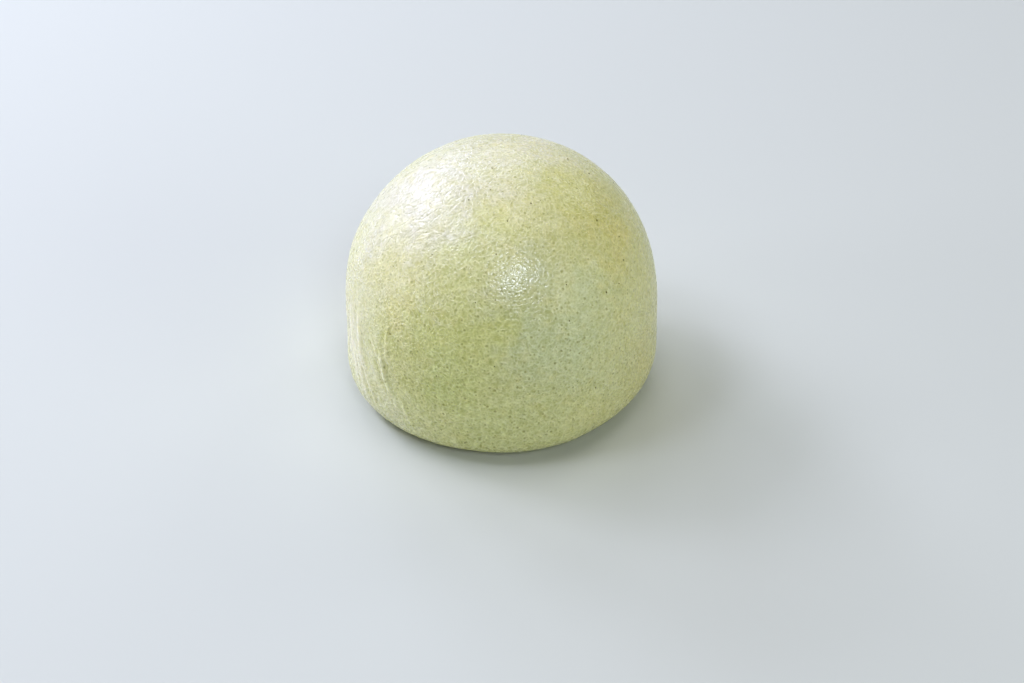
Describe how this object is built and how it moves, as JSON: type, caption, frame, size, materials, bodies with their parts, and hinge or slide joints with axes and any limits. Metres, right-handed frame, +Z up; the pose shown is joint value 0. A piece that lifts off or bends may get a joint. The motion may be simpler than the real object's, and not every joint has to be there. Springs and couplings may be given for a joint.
{
  "type": "steamed manju",
  "caption": "Large uncut steamed manju: a smooth pale green dough bun, domed on top, nearly upright at the side and flat underneath.",
  "frame": {"origin": "middle of the flat underside that the bun rests on", "axes": "+Z up through the crown; the side seen in the picture faces -Y, with +X to its right"},
  "size_m": [0.066, 0.066, 0.0544],
  "materials": {
    "dough": "satin",
    "leaf_flecks": "matte"
  },
  "bodies": {
    "root": {"bun": "dough"}
  },
  "joints": []
}
